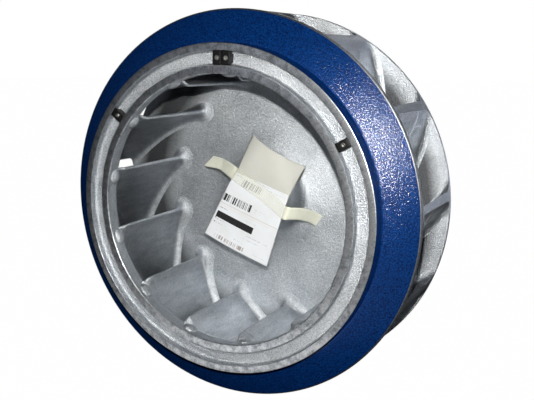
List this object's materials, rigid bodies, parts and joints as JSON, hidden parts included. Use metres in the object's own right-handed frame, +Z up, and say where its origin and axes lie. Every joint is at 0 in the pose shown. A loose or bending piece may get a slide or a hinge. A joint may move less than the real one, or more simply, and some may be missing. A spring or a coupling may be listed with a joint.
{
  "type": "centrifugal fan impeller",
  "caption": "Single inlet centrifugal fan wheel with backward curved blades between a back plate and a blue conical shroud with a grooved inlet ring.",
  "frame": {"origin": "centre of the wheel's bounding box, on its axis, halfway between the inlet ring's face and the hub's back face", "axes": "+Y along the wheel's axis away from the inlet, +Z up with the wheel standing on its two rims, inlet faces -Y"},
  "size_m": [0.4996, 0.1934, 0.4996],
  "materials": {
    "cast_aluminium": "cast, shot blasted, with fine grain and parting lines",
    "machined_aluminium": "turned, dull from handling",
    "blue_enamel": "glossy blue enamel with an orange peel texture",
    "turned_steel": "turned",
    "blackened_steel": "black oxide",
    "zinc_plated_steel": "bright zinc",
    "paper": "cream and white paper, creased",
    "masking_tape": "pale creped paper tape"
  },
  "bodies": {
    "root": {"back_plate": "cast_aluminium", "hub_bush": "turned_steel", "shroud": "blue_enamel", "inlet_ring": "machined_aluminium", "blade_01": "cast_aluminium", "blade_02": "cast_aluminium", "blade_03": "cast_aluminium", "blade_04": "cast_aluminium", "blade_05": "cast_aluminium", "blade_06": "cast_aluminium", "blade_07": "cast_aluminium", "blade_08": "cast_aluminium", "blade_09": "cast_aluminium", "blade_10": "cast_aluminium", "blade_11": "cast_aluminium", "blade_12": "cast_aluminium", "blade_13": "cast_aluminium", "balance_weight_top_left": "blackened_steel", "balance_weight_top_right": "blackened_steel", "balance_weight_left": "blackened_steel", "balance_weight_right": "blackened_steel", "grub_screw_top_left": "zinc_plated_steel", "grub_screw_top_right": "zinc_plated_steel", "grub_screw_left": "zinc_plated_steel", "grub_screw_right": "zinc_plated_steel", "document_sheet": "paper", "tape_strip": "masking_tape"}
  },
  "joints": []
}
